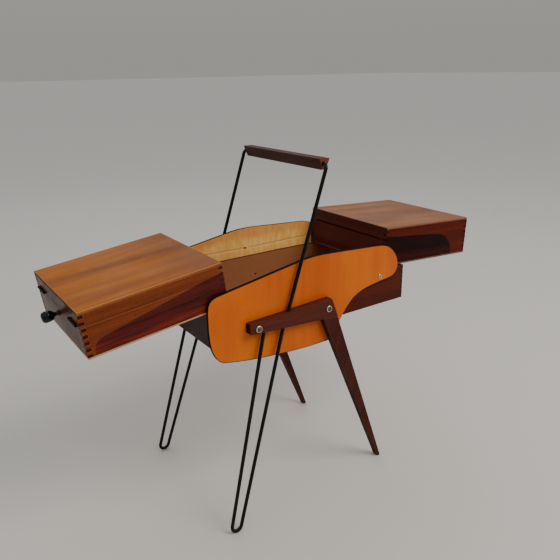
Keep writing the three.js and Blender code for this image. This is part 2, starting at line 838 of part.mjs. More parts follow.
function trayWalls(side, frontOrRear) {
  const group = new THREE.Group();
  const half = trayLength / 2;
  const long = fingerBoard(half, wallFoot, wallTop, trayFingerStart, false, trayWall);
  for (const y of [-1, 1]) {
    const wall = mesh(`${side.name}_tray_${frontOrRear(y)}_wall`, plateXZ(long, trayWall), mahogany);
    wall.position.set(half, y * (traySide - trayWall / 2), 0);
    group.add(wall);
  }

  const end = fingerBoard(traySide, wallFoot, wallTop, trayFingerStart, true, trayWall);
  const pinBore = barY(
    pinDiameter / 2 + boreGap, pinInset - trayWall / 2, pinHeight,
    traySide - pinInWall - boreGap, traySide + 5,
  );
  const inner = cut(
    plateYZ(end, trayWall), pinBore, mirrorY(pinBore),
    fingerGroove(wallTop - grooveHeight, wallTop + 1),
  );
  const innerWall = mesh(`${side.name}_tray_inner_wall`, inner, mahogany);
  innerWall.position.x = trayWall / 2;
  group.add(innerWall);

  end.holes.push(roundHole(0, trayHeight - knobBelowTop, studRadius + boreGap));
  const outer = cut(plateYZ(end, trayWall, 4), ...hingeRecesses(wallTop, leafRecess));
  const outerWall = mesh(`${side.name}_tray_outer_wall`, outer, mahogany);
  outerWall.position.x = trayLength - trayWall / 2;
  group.add(outerWall);

  const board = block(0, trayLength, -traySide, traySide, 0, trayBoard);
  group.add(mesh(`${side.name}_tray_bottom`, board, paleBoard));
  return group;
}

function trayLid(side, frontOrRear) {
  const group = new THREE.Group();
  const half = trayLength / 2;
  const long = fingerBoard(half, lidLine, rimTop, trayFingerStart, false, trayWall);
  for (const y of [-1, 1]) {
    const rim = mesh(`${side.name}_lid_${frontOrRear(y)}_rim`, plateXZ(long, trayWall), mahogany);
    rim.position.set(half, y * (traySide - trayWall / 2), 0);
    group.add(rim);
  }
  const end = fingerBoard(traySide, lidLine, rimTop, trayFingerStart, true, trayWall);
  const inner = cut(plateYZ(end, trayWall), fingerGroove(lidLine - 1, lidLine + grooveHeight));
  const innerRim = mesh(`${side.name}_lid_inner_rim`, inner, mahogany);
  innerRim.position.x = trayWall / 2;
  group.add(innerRim);

  const outer = cut(plateYZ(end, trayWall), ...hingeRecesses(lidLine, -leafRecess));
  const outerRim = mesh(`${side.name}_lid_outer_rim`, outer, mahogany);
  outerRim.position.x = trayLength - trayWall / 2;
  group.add(outerRim);

  const top = block(0, trayLength, -traySide, traySide, trayHeight - lidBoard, trayHeight);
  group.add(mesh(`${side.name}_lid_top`, top, lidWood));
  return group;
}

function trayHinges(side, frontOrRear) {
  const group = new THREE.Group();
  group.position.set(trayLength + barrelOut, 0, lidLine - lidGap / 2);
  for (const y of [-1, 1]) {
    for (const [kind, which] of [['wall_leaf', -1], ['lid_leaf', 1]]) {
      const leaf = mesh(`${side.name}_${frontOrRear(y)}_hinge_${kind}`, hingeLeaf(which), agedBrass);
      leaf.position.y = y * hingeFromCentre;
      group.add(leaf);
    }
  }
  return group;
}

function knob(side) {
  const widest = knobLength * knobWidestAt;
  const profile = [
    [0, faceGap - trayWall],
    [studRadius, faceGap - trayWall],
    [studRadius, faceGap],
    [knobNeckRadius + 1.4, faceGap],
    [knobNeckRadius + 1.4, 1.6],
    [knobNeckRadius, 3.2],
    [knobNeckRadius * 0.9, knobNeckLength * 0.9],
  ];
  const from = Math.asin(knobNeckRadius * 0.95 / knobRadius);
  const steps = 7;
  for (let i = 0; i < steps; i += 1) {
    const angle = THREE.MathUtils.lerp(Math.PI - from, Math.PI / 2, i / steps);
    profile.push([
      knobRadius * Math.sin(angle),
      widest + (widest - knobNeckLength) * Math.cos(angle),
    ]);
  }
  // the outer end is blunter than a ball
  for (let i = 0; i <= steps; i += 1) {
    const angle = (Math.PI / 2) * (1 - i / steps);
    profile.push([
      i === steps ? 0 : knobRadius * Math.sin(angle) ** (2 / 3),
      widest + (knobLength - widest) * Math.cos(angle) ** (2 / 3),
    ]);
  }
  const geometry = new THREE.LatheGeometry(profile.map(([r, out]) => new THREE.Vector2(r, out)), 24);
  const made = mesh(`${side.name}_knob`, geometry, blackGloss);
  made.rotation.z = -Math.PI / 2;
  made.position.set(trayLength, 0, trayHeight - knobBelowTop);
  return made;
}

// A tray is built level, pulled along +X, from its inner lower edge. Then it is moved so that its
// guide pins are at the group's origin, tipped, and turned to its own side of the box.
function tray(side) {
  const frontOrRear = (y) => (y * side.outward > 0 ? 'rear' : 'front');
  const level = new THREE.Group();
  level.position.set(-pinInset, 0, -pinHeight);
  level.add(trayWalls(side, frontOrRear));
  level.add(trayLid(side, frontOrRear));
  level.add(trayHinges(side, frontOrRear));
  level.add(knob(side));

  const tipped = new THREE.Group();
  tipped.rotation.y = side.droop;
  tipped.add(level);

  const placed = new THREE.Group();
  placed.position.set(side.restX, 0, side.restZ);
  placed.rotation.z = side.outward > 0 ? 0 : Math.PI;
  placed.add(tipped);
  for (const y of [-1, 1]) {
    const from = traySide - pinInWall;
    const to = panelInside + pinInSlot;
    const pin = mesh(
      `${side.name}_${frontOrRear(y)}_pin`,
      new THREE.CylinderGeometry(pinDiameter / 2, pinDiameter / 2, to - from, 14),
      bareSteel,
    );
    pin.position.y = y * (from + to) / 2;
    placed.add(pin);
  }
  return placed;
}

// ---------------------------------------------------------------- assembly

const model = new THREE.Group();
model.add(lowerBox(), sidePanels(), stand(), grip(), fixings(), ...sides.map(tray));

// The origin is on the floor, under the middle of the overall length and width.
const sewingBox = new THREE.Group();
sewingBox.add(model);
sewingBox.updateMatrixWorld(true);
const extent = new THREE.Box3().setFromObject(model, true);
model.position.x = -(extent.min.x + extent.max.x) / 2;
sewingBox.updateMatrixWorld(true);

export default sewingBox;
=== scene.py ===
# A sewing box with two trays, in its finished looks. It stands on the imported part's own frame.
# Metres. +X runs along the box to the right-hand tray, +Y to the back, +Z up from the floor.
import json
import math

import bmesh
import bpy
from mathutils import Euler, Matrix, Vector


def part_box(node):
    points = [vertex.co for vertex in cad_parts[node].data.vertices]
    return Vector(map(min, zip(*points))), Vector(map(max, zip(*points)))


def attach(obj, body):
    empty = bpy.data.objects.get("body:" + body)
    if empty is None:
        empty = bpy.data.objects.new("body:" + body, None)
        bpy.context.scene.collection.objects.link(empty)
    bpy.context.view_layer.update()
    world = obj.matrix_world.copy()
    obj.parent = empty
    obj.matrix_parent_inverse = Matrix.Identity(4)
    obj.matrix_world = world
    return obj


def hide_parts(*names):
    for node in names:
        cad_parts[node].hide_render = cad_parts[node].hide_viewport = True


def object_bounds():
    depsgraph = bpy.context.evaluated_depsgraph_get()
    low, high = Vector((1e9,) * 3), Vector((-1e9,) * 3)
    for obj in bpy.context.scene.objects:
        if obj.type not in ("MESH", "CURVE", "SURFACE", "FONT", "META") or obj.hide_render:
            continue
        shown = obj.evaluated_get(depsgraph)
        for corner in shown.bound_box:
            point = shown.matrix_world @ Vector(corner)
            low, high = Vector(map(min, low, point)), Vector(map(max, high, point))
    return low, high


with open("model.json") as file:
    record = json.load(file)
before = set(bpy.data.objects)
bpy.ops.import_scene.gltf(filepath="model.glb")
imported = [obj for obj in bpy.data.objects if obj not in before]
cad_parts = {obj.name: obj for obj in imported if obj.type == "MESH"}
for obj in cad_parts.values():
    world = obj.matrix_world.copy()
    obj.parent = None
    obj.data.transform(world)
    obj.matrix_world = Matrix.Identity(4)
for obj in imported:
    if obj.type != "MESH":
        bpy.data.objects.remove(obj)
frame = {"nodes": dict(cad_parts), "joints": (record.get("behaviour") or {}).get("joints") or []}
cad_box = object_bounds()


# ---------------------------------------------------------------- lower box
# A fixed box of solid mahogany boards, finger-jointed at its four corners and varnished.
# The long boards' tops are eased down towards the ends, where the trays tip over them, and a
# plywood bottom lies between the boards.

def feed(tree, socket, value):
    """Links value to the socket where it is a socket itself, and sets it where it is a number."""
    if isinstance(value, bpy.types.NodeSocket):
        tree.links.new(value, socket)
    else:
        socket.default_value = value


def add_node(tree, kind, inputs=None, **settings):
    """One shader node: its settings by name, its inputs as values or as sockets to link from."""
    made = tree.nodes.new("ShaderNode" + kind)
    for name, value in settings.items():
        setattr(made, name, value)
    for name, value in (inputs or {}).items():
        feed(tree, made.inputs[name], value)
    return made


def new_group(name, inputs, outputs):
    """An empty node group with those sockets, and its input and output nodes."""
    tree = bpy.data.node_groups.new(name, "ShaderNodeTree")
    for socket, kind, value in inputs:
        made = tree.interface.new_socket(socket, in_out="INPUT", socket_type="NodeSocket" + kind)
        if value is not None:
            made.default_value = value
    for socket, kind in outputs:
        tree.interface.new_socket(socket, in_out="OUTPUT", socket_type="NodeSocket" + kind)
    return tree, tree.nodes.new("NodeGroupInput").outputs, tree.nodes.new("NodeGroupOutput").inputs


def smooth_step(tree, value, low, high):
    """0 below low and 1 above high, as a socket."""
    return add_node(tree, "MapRange", {"Value": value, "From Min": low, "From Max": high},
                    interpolation_type="SMOOTHSTEP").outputs["Result"]


def combine(tree, first, second, share, how="MIX"):
    """Two colours mixed, as a socket. share is how much of the second."""
    made = add_node(tree, "Mix", data_type="RGBA", blend_type=how)
    for number, value in ((0, share), (6, first), (7, second)):
        feed(tree, made.inputs[number], value)
    return made.outputs[2]


def sum_up(tree, how, first, second=0.0, third=0.0):
    """One step of arithmetic, as a socket."""
    made = add_node(tree, "Math", operation=how)
    for socket, value in zip(made.inputs, (first, second, third)):
        feed(tree, socket, value)
    return made.outputs[0]


def new_material(name):
    """A material, with its node tree and its surface shader."""
    material = bpy.data.materials.new(name)
    material.use_nodes = True
    return material, material.node_tree, material.node_tree.nodes["Principled BSDF"]


def tint(colour, strength=1.0):
    """A colour as a node takes it, darkened where strength is under 1."""
    return tuple(c * strength for c in colour) + (1.0,)


# Grain of a sawn board. Along the board (its X) the figure is drawn out long, across it is fine.
grain, g_in, g_out = new_group(
    "board_grain",
    [("Board", "Vector", None), ("Waver", "Float", 0.02), ("Band Width", "Float", 0.02),
     ("Seed", "Float", 0.0)],
    [("Bands", "Float"), ("Streaks", "Float"), ("Pores", "Float"), ("Relief", "Float")],
)
bend = add_node(grain, "TexNoise", {
    "Vector": add_node(grain, "VectorMath", {0: g_in["Board"], 1: (3.0, 6.0, 6.0)},
                       operation="MULTIPLY").outputs[0],
    "W": g_in["Seed"], "Scale": 1.0, "Detail": 2.0}, noise_dimensions="4D")
shifted = add_node(grain, "VectorMath", {
    0: add_node(grain, "VectorMath", {0: bend.outputs["Color"], 1: (0.5, 0.5, 0.5)},
                operation="SUBTRACT").outputs[0],
    1: add_node(grain, "CombineXYZ", {"Y": g_in["Waver"], "Z": g_in["Waver"]}).outputs[0],
    2: g_in["Board"]}, operation="MULTIPLY_ADD").outputs[0]
across = sum_up(grain, "DIVIDE", 1.0, g_in["Band Width"])
bands = add_node(grain, "TexNoise", {
    "Vector": add_node(grain, "VectorMath", {
        0: shifted,
        1: add_node(grain, "CombineXYZ", {"X": 2.0, "Y": across, "Z": across}).outputs[0]},
        operation="MULTIPLY").outputs[0],
    "W": g_in["Seed"], "Scale": 1.0, "Detail": 3.0, "Roughness": 0.55}, noise_dimensions="4D")
streaks = add_node(grain, "TexNoise", {
    "Vector": add_node(grain, "VectorMath", {0: shifted, 1: (7.0, 420.0, 420.0)},
                       operation="MULTIPLY").outputs[0],
    "W": g_in["Seed"], "Scale": 1.0, "Detail": 4.0, "Roughness": 0.6}, noise_dimensions="4D")
pores = add_node(grain, "TexNoise", {
    "Vector": add_node(grain, "VectorMath", {0: shifted, 1: (230.0, 1500.0, 1500.0)},
                       operation="MULTIPLY").outputs[0],
    "W": g_in["Seed"], "Scale": 1.0, "Detail": 1.0}, noise_dimensions="4D")
pore_mask = smooth_step(grain, pores.outputs["Fac"], 0.56, 0.70)
grain.links.new(smooth_step(grain, bands.outputs["Fac"], 0.30, 0.70), g_out["Bands"])
grain.links.new(smooth_step(grain, streaks.outputs["Fac"], 0.28, 0.72), g_out["Streaks"])
grain.links.new(pore_mask, g_out["Pores"])
grain.links.new(sum_up(grain, "MULTIPLY_ADD", streaks.outputs["Fac"], 0.4,
                       sum_up(grain, "MULTIPLY", pore_mask, -0.8)), g_out["Relief"])

# Hand marks in the varnish: faint cloudy patches and fine dust that dull its gloss unevenly.
handling, h_in, h_out = new_group(
    "varnish_handling",
    [("Place", "Vector", None), ("Gloss", "Float", 0.35), ("Unevenness", "Float", 0.15)],
    [("Roughness", "Float"), ("Dust", "Float")],
)
cloud = add_node(handling, "TexNoise", {"Vector": h_in["Place"], "Scale": 14.0, "Detail": 5.0})
speck = add_node(handling, "TexNoise", {"Vector": h_in["Place"], "Scale": 700.0, "Detail": 1.0})
handling.links.new(
    sum_up(handling, "MULTIPLY_ADD", smooth_step(handling, cloud.outputs["Fac"], 0.3, 0.7),
           h_in["Unevenness"], h_in["Gloss"]), h_out["Roughness"])
handling.links.new(smooth_step(handling, speck.outputs["Fac"], 0.66, 0.74), h_out["Dust"])

ALONG = {"x": (0.0, 0.0, 0.0), "y": (0.0, 0.0, -math.pi / 2), "z": (0.0, math.pi / 2, 0.0)}


def varnished_wood(name, along, pale, deep, end_grain, band_width=0.02, waver=0.02, seed=0.0,
                   gloss=0.32, turn=None, pore_depth=0.5, streak_depth=0.35, cover=None,
                   shine=0.18, bend_of_light=1.5):
    """A varnished board's material. along is the grain's direction, and turn a (rotation, shift)
    that first brings a tipped board level. cover takes (tree, level place, colour) and returns
    the colour with whatever lies over the grain."""
    material, tree, surface = new_material(name)
    place = add_node(tree, "TexCoord")
    level = place.outputs["Object"]
    facing = place.outputs["Normal"]
    if turn:
        level = add_node(tree, "Mapping", {"Vector": level, "Rotation": turn[0],
                                           "Location": turn[1]}).outputs[0]
        facing = add_node(tree, "Mapping", {"Vector": facing, "Rotation": turn[0]},
                          vector_type="NORMAL").outputs[0]
    rotation = ALONG[along] if isinstance(along, str) else along
    board = add_node(tree, "Mapping", {"Vector": level, "Rotation": rotation}).outputs[0]
    board_facing = add_node(tree, "Mapping", {"Vector": facing, "Rotation": rotation},
                            vector_type="NORMAL").outputs[0]
    figure = add_node(tree, "Group", node_tree=grain)
    tree.links.new(board, figure.inputs["Board"])
    for socket, value in (("Waver", waver), ("Band Width", band_width), ("Seed", seed)):
        figure.inputs[socket].default_value = value
    colour = combine(tree, tint(pale), tint(deep), figure.outputs["Bands"])
    dark_line = tint(deep, 0.45)
    colour = combine(tree, colour, dark_line,
                     sum_up(tree, "MULTIPLY", figure.outputs["Streaks"], streak_depth))
    if cover:
        colour = cover(tree, level, facing, colour)
    colour = combine(tree, colour, dark_line,
                     sum_up(tree, "MULTIPLY", figure.outputs["Pores"], pore_depth))
    end_on = smooth_step(tree, sum_up(tree, "ABSOLUTE", add_node(
        tree, "SeparateXYZ", {"Vector": board_facing}).outputs["X"]), 0.6, 0.8)
    ends = combine(tree, tint(end_grain), tint(end_grain, 0.5),
                   add_node(tree, "TexNoise", {"Vector": level, "Scale": 900.0}).outputs["Fac"])
    colour = combine(tree, colour, ends, end_on)
    marks = add_node(tree, "Group", {"Place": level, "Gloss": gloss}, node_tree=handling)
    colour = combine(tree, colour, (0.42, 0.39, 0.35, 1.0),
                     sum_up(tree, "MULTIPLY", marks.outputs["Dust"], 0.10))
    tree.links.new(colour, surface.inputs["Base Color"])
    tree.links.new(sum_up(tree, "MULTIPLY_ADD", end_on, 0.2, marks.outputs["Roughness"]),
                   surface.inputs["Roughness"])
    bump = add_node(tree, "Bump", {"Height": figure.outputs["Relief"], "Strength": 0.25,
                                   "Distance": 0.0002})
    tree.links.new(bump.outputs["Normal"], surface.inputs["Normal"])
    surface.inputs["Specular IOR Level"].default_value = shine
    surface.inputs["IOR"].default_value = bend_of_light
    return material


def ease_edges(node, width, *materials, segments=2, sharp=38.0):
    """Gives a board of the frame its materials, and rounds its sharp edges by width. The rounded
    edges take the last material."""
    board = frame["nodes"][node]
    board.data.materials.clear()
    for material in materials:
        board.data.materials.append(material)
    weld = board.modifiers.new("closed_corners", "WELD")
    weld.merge_threshold = 1e-5
    flat = board.modifiers.new("whole_faces", "DECIMATE")
    flat.decimate_type = "DISSOLVE"
    flat.angle_limit = math.radians(0.5)
    edge = board.modifiers.new("eased_edges", "BEVEL")
    edge.limit_method = "ANGLE"
    edge.angle_limit = math.radians(sharp)
    edge.width = width
    edge.segments = segments
    edge.use_clamp_overlap = True
    edge.material = len(materials) - 1
    edge.harden_normals = False
    return board


box_pale, box_deep = (0.105, 0.015, 0.0055), (0.056, 0.0070, 0.0035)
box_end = (0.016, 0.004, 0.003)
box_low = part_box("lower_box_left_wall")[0]
box_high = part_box("lower_box_right_wall")[1]
box_wall = 0.008
box_edge = 0.0006
face_margin = 0.0004


def bare_inside(tree, level, facing, colour):
    """A cover for the lower box: paler, unvarnished wood on the faces towards its inside."""
    axes = add_node(tree, "SeparateXYZ", {"Vector": level})
    middle_x = (box_low.x + box_high.x) / 2
    across_x = sum_up(tree, "ABSOLUTE", sum_up(tree, "SUBTRACT", axes.outputs["X"], middle_x))
    across_y = sum_up(tree, "ABSOLUTE", axes.outputs["Y"])
    reach_x = box_high.x - middle_x - box_wall + face_margin
    reach_y = box_high.y - box_wall + face_margin
    inside = sum_up(tree, "MULTIPLY", sum_up(tree, "LESS_THAN", across_x, reach_x),
                    sum_up(tree, "LESS_THAN", across_y, reach_y))
    bare = combine(tree, colour, (0.66, 0.29, 0.125, 1.0), 0.37)
    return combine(tree, colour, bare, inside)


box_side = varnished_wood("lower_box_side", "x", box_pale, box_deep, box_end, band_width=0.022,
                          cover=bare_inside, shine=0.09, pore_depth=0.25)
# painted shade: the end boards are coloured much darker than the long boards, for the shade on the
# box's left end
shaded_box_end_board = varnished_wood("lower_box_end_painted_shade", "y", (0.046, 0.016, 0.011), (0.026, 0.009, 0.007),
                               box_end, seed=3.0, gloss=0.5, cover=bare_inside)
# painted highlight: the box's eased edges are coloured lighter for the light they catch
highlit_box_edge = varnished_wood("box_edge_painted_highlight", "x", (0.19, 0.06, 0.035), (0.11, 0.035, 0.02),
                             (0.10, 0.035, 0.02), gloss=0.38)
for node in ("lower_box_front_wall", "lower_box_rear_wall"):
    ease_edges(node, box_edge, box_side, highlit_box_edge)
for node in ("lower_box_left_wall", "lower_box_right_wall"):
    ease_edges(node, box_edge, shaded_box_end_board, highlit_box_edge)


ply_face = (0.46, 0.26, 0.12)
ply_edge = 0.0004
ply_pitch = 0.002


def plywood(name, face, dark_ply, light_ply, turn=None):
    """Unvarnished plywood: plain faces, and the plies as thin stripes along its edges."""
    material, tree, surface = new_material(name)
    place = add_node(tree, "TexCoord")
    level = place.outputs["Object"]
    if turn:
        level = add_node(tree, "Mapping", {"Vector": level, "Rotation": turn[0],
                                           "Location": turn[1]}).outputs[0]
    figure = add_node(tree, "Group", {"Board": level}, node_tree=grain)
    faces = combine(tree, tint(face), tint(face, 0.72), figure.outputs["Bands"])
    faces = combine(tree, faces, tint(face, 0.6),
                    sum_up(tree, "MULTIPLY", figure.outputs["Streaks"], 0.4))
    height = add_node(tree, "SeparateXYZ", {"Vector": level}).outputs["Z"]
    stripe = sum_up(tree, "SINE", sum_up(tree, "MULTIPLY", height, 2.0 * math.pi / ply_pitch))
    edges = combine(tree, tint(light_ply), tint(dark_ply),
                    sum_up(tree, "MULTIPLY", smooth_step(tree, stripe, 0.2, 0.6), 0.35))
    upright = sum_up(tree, "ABSOLUTE", add_node(
        tree, "SeparateXYZ", {"Vector": place.outputs["Normal"]}).outputs["Z"])
    colour = combine(tree, edges, faces, smooth_step(tree, upright, 0.5, 0.8))
    marks = add_node(tree, "Group", {"Place": place.outputs["Object"], "Gloss": 0.5},
                     node_tree=handling)
    tree.links.new(colour, surface.inputs["Base Color"])
    tree.links.new(marks.outputs["Roughness"], surface.inputs["Roughness"])
    tree.links.new(add_node(tree, "Bump", {"Height": figure.outputs["Relief"], "Strength": 0.2,
                                           "Distance": 0.0002}).outputs["Normal"],
                   surface.inputs["Normal"])
    return material


bottom_board = plywood("bottom_plywood", ply_face, (0.22, 0.10, 0.045), (0.62, 0.38, 0.19))
ease_edges("lower_box_bottom", ply_edge, bottom_board)


# ---------------------------------------------------------------- side panels
# Two plywood panels cut to one outline and screwed to the box. Their outer faces are veneered and
# varnished a deep amber, their inner faces are paler and flamed, and their edges are black.
# A narrow slot for each tray's guide pins is routed in the inner face.

panel_low, panel_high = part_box("front_panel")
panel_inside, panel_outside = -panel_high.y, -panel_low.y
joints = {joint["name"]: joint for joint in frame["joints"]}
shut_pin = (Vector(joints["left_tilt"]["pos_m"])
            + Vector(joints["left_slide"]["axis"]) * joints["left_slide"]["range_m"][1])
slot_end = abs(joints["left_tilt"]["pos_m"][0]) + 0.004
pin_spot = 0.0026


fixing_boxes = [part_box(f"front_{fixing}")
                for fixing in ("left_washer", "right_washer", "panel_screw")]
edge_black = (0.0065, 0.0050, 0.0045)
slot_floor_wood = (0.95, 0.68, 0.30)


def in_bolt_hole(point):
    """Whether a point of the panel is on the edge of a bolt's or screw's hole."""
    return any(low.x <= point.x <= high.x and low.z <= point.z <= high.z
               for low, high in fixing_boxes)


def panel_outline(pick, count=44):
    """Points (x, z) along the panels' outline, from left to right. pick is max for its top edge
    and min for its bottom edge."""
    outline = [(a, b) for a, b in (
        [frame["nodes"]["front_panel"].data.vertices[i].co for i in edge.vertices]
        for edge in frame["nodes"]["front_panel"].data.edges)
        if max(a.y, b.y) < panel_low.y + 1e-4 and abs(a.x - b.x) > 1e-6
        and not in_bolt_hole(a) and not in_bolt_hole(b)]
    points = []
    for i in range(count):
        # closer together towards both ends, where the edges turn
        share = 0.5 - 0.5 * math.cos(math.pi * i / (count - 1))
        x = panel_low.x + 1e-5 + (panel_high.x - panel_low.x - 2e-5) * share
        heights = [a.z + (b.z - a.z) * (x - a.x) / (b.x - a.x) for a, b in outline
                   if (a.x - x) * (b.x - x) <= 0]
        points.append((x, pick(heights)))
    return points


def outline_height(tree, along, points):
    """The height of an edge of the panels' outline, as a socket. along is 0 at the panels' left
    end and 1 at their right end."""
    edge = add_node(tree, "FloatCurve", {"Value": along})
    curve = edge.mapping.curves[0]
    for i, (x, z) in enumerate(points):
        spot = ((x - panel_low.x) / (panel_high.x - panel_low.x),
                (z - panel_low.z) / (panel_high.z - panel_low.z))
        if i < 1:
            curve.points[0].location = spot
        elif i == len(points) - 1:
            curve.points[-1].location = spot
        else:
            curve.points.new(*spot)
    for point in curve.points:
        point.handle_type = "VECTOR"
    edge.mapping.update()
    return sum_up(tree, "MULTIPLY_ADD", edge.outputs[0], panel_high.z - panel_low.z, panel_low.z)


def share_along_panel(tree, x):
    """How far x is along the panels: 0 at their left end and 1 at their right end, as a socket."""
    return sum_up(tree, "DIVIDE", sum_up(tree, "SUBTRACT", x, panel_low.x),
                  panel_high.x - panel_low.x)


def panel_veneer(name):
    """The panel's material: amber outside, flamed and paler inside, bare wood in the slots, and
    black on the sawn edges."""
    material, tree, surface = new_material(name)
    place = add_node(tree, "TexCoord")
    here = place.outputs["Object"]
    axes = add_node(tree, "SeparateXYZ", {"Vector": here})
    depth = sum_up(tree, "ABSOLUTE", axes.outputs["Y"])
    figure = add_node(tree, "Group", {
        "Board": add_node(tree, "Mapping", {"Vector": here, "Rotation": ALONG["z"]}).outputs[0],
        "Waver": 0.03, "Band Width": 0.03, "Seed": 5.0}, node_tree=grain)
    outer = combine(tree, (0.63, 0.122, 0.0015, 1.0), (0.50, 0.083, 0.0010, 1.0),
                    sum_up(tree, "MULTIPLY", figure.outputs["Bands"], 0.8))
    outer = combine(tree, outer, (0.36, 0.052, 0.001, 1.0),
                    sum_up(tree, "MULTIPLY", figure.outputs["Streaks"], 0.22))
    blush = add_node(tree, "TexNoise", {"Vector": here, "Scale": 5.5, "Detail": 2.0})
    outer = combine(tree, outer, (0.68, 0.165, 0.003, 1.0), sum_up(
        tree, "MULTIPLY", smooth_step(tree, blush.outputs["Fac"], 0.42, 0.68), 0.55))
    # Flame: ripples that run across the grain, in patches.
    ripple = add_node(tree, "TexNoise", {"Vector": add_node(
        tree, "VectorMath", {0: here, 1: (130.0, 60.0, 42.0)}, operation="MULTIPLY").outputs[0],
        "Scale": 1.0, "Detail": 4.0, "Distortion": 0.6})
    patches = add_node(tree, "TexNoise", {"Vector": here, "Scale": 16.0, "Detail": 2.0})
    inner = combine(tree, (0.88, 0.52, 0.145, 1.0), (0.72, 0.37, 0.085, 1.0),
                    smooth_step(tree, ripple.outputs["Fac"], 0.34, 0.70))
    inner = combine(tree, inner, (0.78, 0.31, 0.080, 1.0), sum_up(
        tree, "MULTIPLY", smooth_step(tree, patches.outputs["Fac"], 0.45, 0.65), 0.6))
    # the strip beside the trays stayed pale, and the top of the panel turned in the light
    sunned = smooth_step(tree, sum_up(tree, "MULTIPLY_ADD", patches.outputs["Fac"], 0.02,
                                      axes.outputs["Z"]), 0.482, 0.502)
    inner = combine(tree, inner, (0.60, 0.20, 0.045, 1.0), sum_up(tree, "MULTIPLY", sunned, 0.55))
    # the black of the sawn edge runs a little way round onto the outer face
    along = share_along_panel(tree, axes.outputs["X"])
    above = sum_up(tree, "SUBTRACT", axes.outputs["Z"], outline_height(tree, along, bottom_edge))
    under = sum_up(tree, "SUBTRACT", outline_height(tree, along, top_edge), axes.outputs["Z"])
    outer = combine(tree, tint(edge_black), outer, smooth_step(
        tree, sum_up(tree, "MINIMUM", above, under), 0.0009, 0.0017))
    colour = combine(tree, inner, outer, smooth_step(
        tree, depth, panel_inside + 0.002, panel_inside + 0.004))
    in_slot = sum_up(tree, "MULTIPLY",
                     smooth_step(tree, depth, panel_inside + 0.0008, panel_inside + 0.0012),
                     sum_up(tree, "LESS_THAN", depth, panel_outside - 0.0015))
    colour = combine(tree, colour, tint(slot_floor_wood), in_slot)
    # painted shade: a dark spot on the slot floor at its inner end, where the pin rests
    flat = add_node(tree, "CombineXYZ", {"X": axes.outputs["X"], "Z": axes.outputs["Z"]})
    wear_and_shade = sum_up(tree, "LESS_THAN", add_node(tree, "VectorMath", {
        0: flat.outputs[0], 1: (shut_pin.x, 0.0, shut_pin.z)},
        operation="DISTANCE").outputs["Value"], pin_spot)
    colour = combine(tree, colour, (0.03, 0.014, 0.008, 1.0), sum_up(tree, "MULTIPLY", wear_and_shade, sum_up(
        tree, "LESS_THAN", depth, panel_outside - 0.0015)))
    face_on = smooth_step(tree, sum_up(tree, "ABSOLUTE", add_node(
        tree, "SeparateXYZ", {"Vector": place.outputs["Normal"]}).outputs["Y"]), 0.55, 0.75)
    routed = sum_up(tree, "MULTIPLY", sum_up(tree, "LESS_THAN", depth, panel_inside + 0.0042),
                    sum_up(tree, "LESS_THAN", sum_up(tree, "ABSOLUTE", axes.outputs["X"]),
                           slot_end))
    routed = sum_up(tree, "MULTIPLY", routed,
                    sum_up(tree, "COMPARE", axes.outputs["Z"], box_high.z + 0.015, 0.015))
    sawn = combine(tree, tint(edge_black), (0.85, 0.55, 0.22, 1.0), routed)
    colour = combine(tree, sawn, colour, face_on)
    marks = add_node(tree, "Group", {"Place": here, "Gloss": 0.24, "Unevenness": 0.12},
                     node_tree=handling)
    tree.links.new(colour, surface.inputs["Base Color"])
    tree.links.new(sum_up(tree, "SUBTRACT", sum_up(tree, "ADD", marks.outputs["Roughness"], 0.35),
                          sum_up(tree, "MULTIPLY", face_on, 0.35)), surface.inputs["Roughness"])
    tree.links.new(add_node(tree, "Bump", {"Height": figure.outputs["Relief"], "Strength": 0.12,
                                           "Distance": 0.0002}).outputs["Normal"],
                   surface.inputs["Normal"])
    tree.links.new(sum_up(tree, "MULTIPLY_ADD", face_on, 0.18, 0.02),
                   surface.inputs["Specular IOR Level"])
    return material


top_edge = panel_outline(max)
bottom_edge = panel_outline(min)
amber = panel_veneer("amber_panel")
black_edge, edge_tree, edge_surface = new_material("black_panel_edge")
edge_paint = add_node(edge_tree, "Group", {
    "Place": add_node(edge_tree, "TexCoord").outputs["Object"], "Gloss": 0.6}, node_tree=handling)
edge_dust = sum_up(edge_tree, "MULTIPLY", edge_paint.outputs["Dust"], 0.4)
edge_tree.links.new(combine(edge_tree, tint(edge_black), (0.05, 0.035, 0.028, 1.0), edge_dust),
                    edge_surface.inputs["Base Color"])
edge_tree.links.new(edge_paint.outputs["Roughness"], edge_surface.inputs["Roughness"])
edge_surface.inputs["Specular IOR Level"].default_value = 0.05
panel_edge = 0.0006
for node in ("front_panel", "rear_panel"):
    ease_edges(node, panel_edge, amber, black_edge)


# ---------------------------------------------------------------- wooden stand
# A side bar of dark hardwood is bolted through each panel into the box, and a tapered leg is
# glued up to its underside at the right. Grip: the same wood, between the two rods.

stand_pale, stand_deep = (0.115, 0.022, 0.011), (0.060, 0.0110, 0.0065)
stand_end = (0.022, 0.009, 0.007)
bar_wood = varnished_wood("side_bar_wood", "x", stand_pale, stand_deep, stand_end,
                          band_width=0.012, seed=7.0, gloss=0.34, shine=0.12)
foot_low, foot_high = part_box("front_leg")
leg_top_width = 0.0361
lean = math.atan2(foot_high.x - foot_low.x - leg_top_width, foot_high.z - foot_low.z)
leg_wood = varnished_wood("leg_wood", (0.0, math.pi / 2 - lean, 0.0), (0.080, 0.0185, 0.0125),
                          (0.046, 0.0100, 0.0072), stand_end, band_width=0.012, seed=8.0,
                          gloss=0.42, shine=0.07)
grip_wood = varnished_wood("grip_wood", "y", (0.075, 0.021, 0.014), (0.046, 0.0095, 0.0062),
                           (0.20, 0.062, 0.034), band_width=0.01, seed=9.0, gloss=0.36,
                           shine=0.12)
